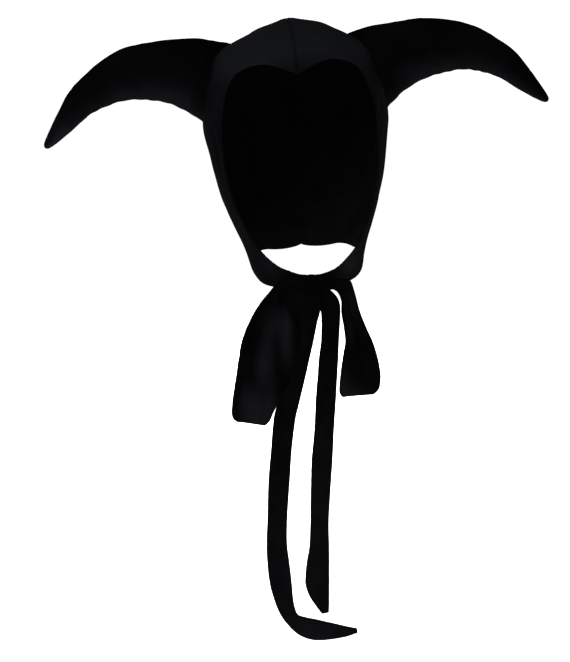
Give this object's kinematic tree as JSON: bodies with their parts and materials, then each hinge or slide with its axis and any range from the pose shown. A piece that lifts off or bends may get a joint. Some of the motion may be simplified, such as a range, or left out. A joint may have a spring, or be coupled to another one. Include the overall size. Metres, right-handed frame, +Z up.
{
  "type": "jester hat",
  "caption": "Close-fitting black velvet hood with stuffed curved horns at the sides, open at the face and neck, tied under the chin in a bow with long hanging ends.",
  "frame": {"origin": "the crown seat: the highest point inside the hood, where the top of the head holds the hat up", "axes": "+Z up, -Y towards the face, +X towards the wearer's left, which is on the right in the picture"},
  "size_m": [0.4391, 0.2309, 0.5184],
  "materials": {
    "hood_velvet": "matt black velvet with a soft grey sheen",
    "horn_velvet": "matt black velvet, stuffed",
    "tie_velvet": "soft black velvet band"
  },
  "bodies": {
    "root": {"hood_panel_left": "hood_velvet", "hood_panel_right": "hood_velvet", "horn_left": "horn_velvet", "horn_right": "horn_velvet", "bow_knot": "tie_velvet", "bow_loop_left": "tie_velvet", "bow_loop_right": "tie_velvet", "tie_tail_left": "tie_velvet", "tie_tail_right": "tie_velvet"}
  },
  "joints": []
}
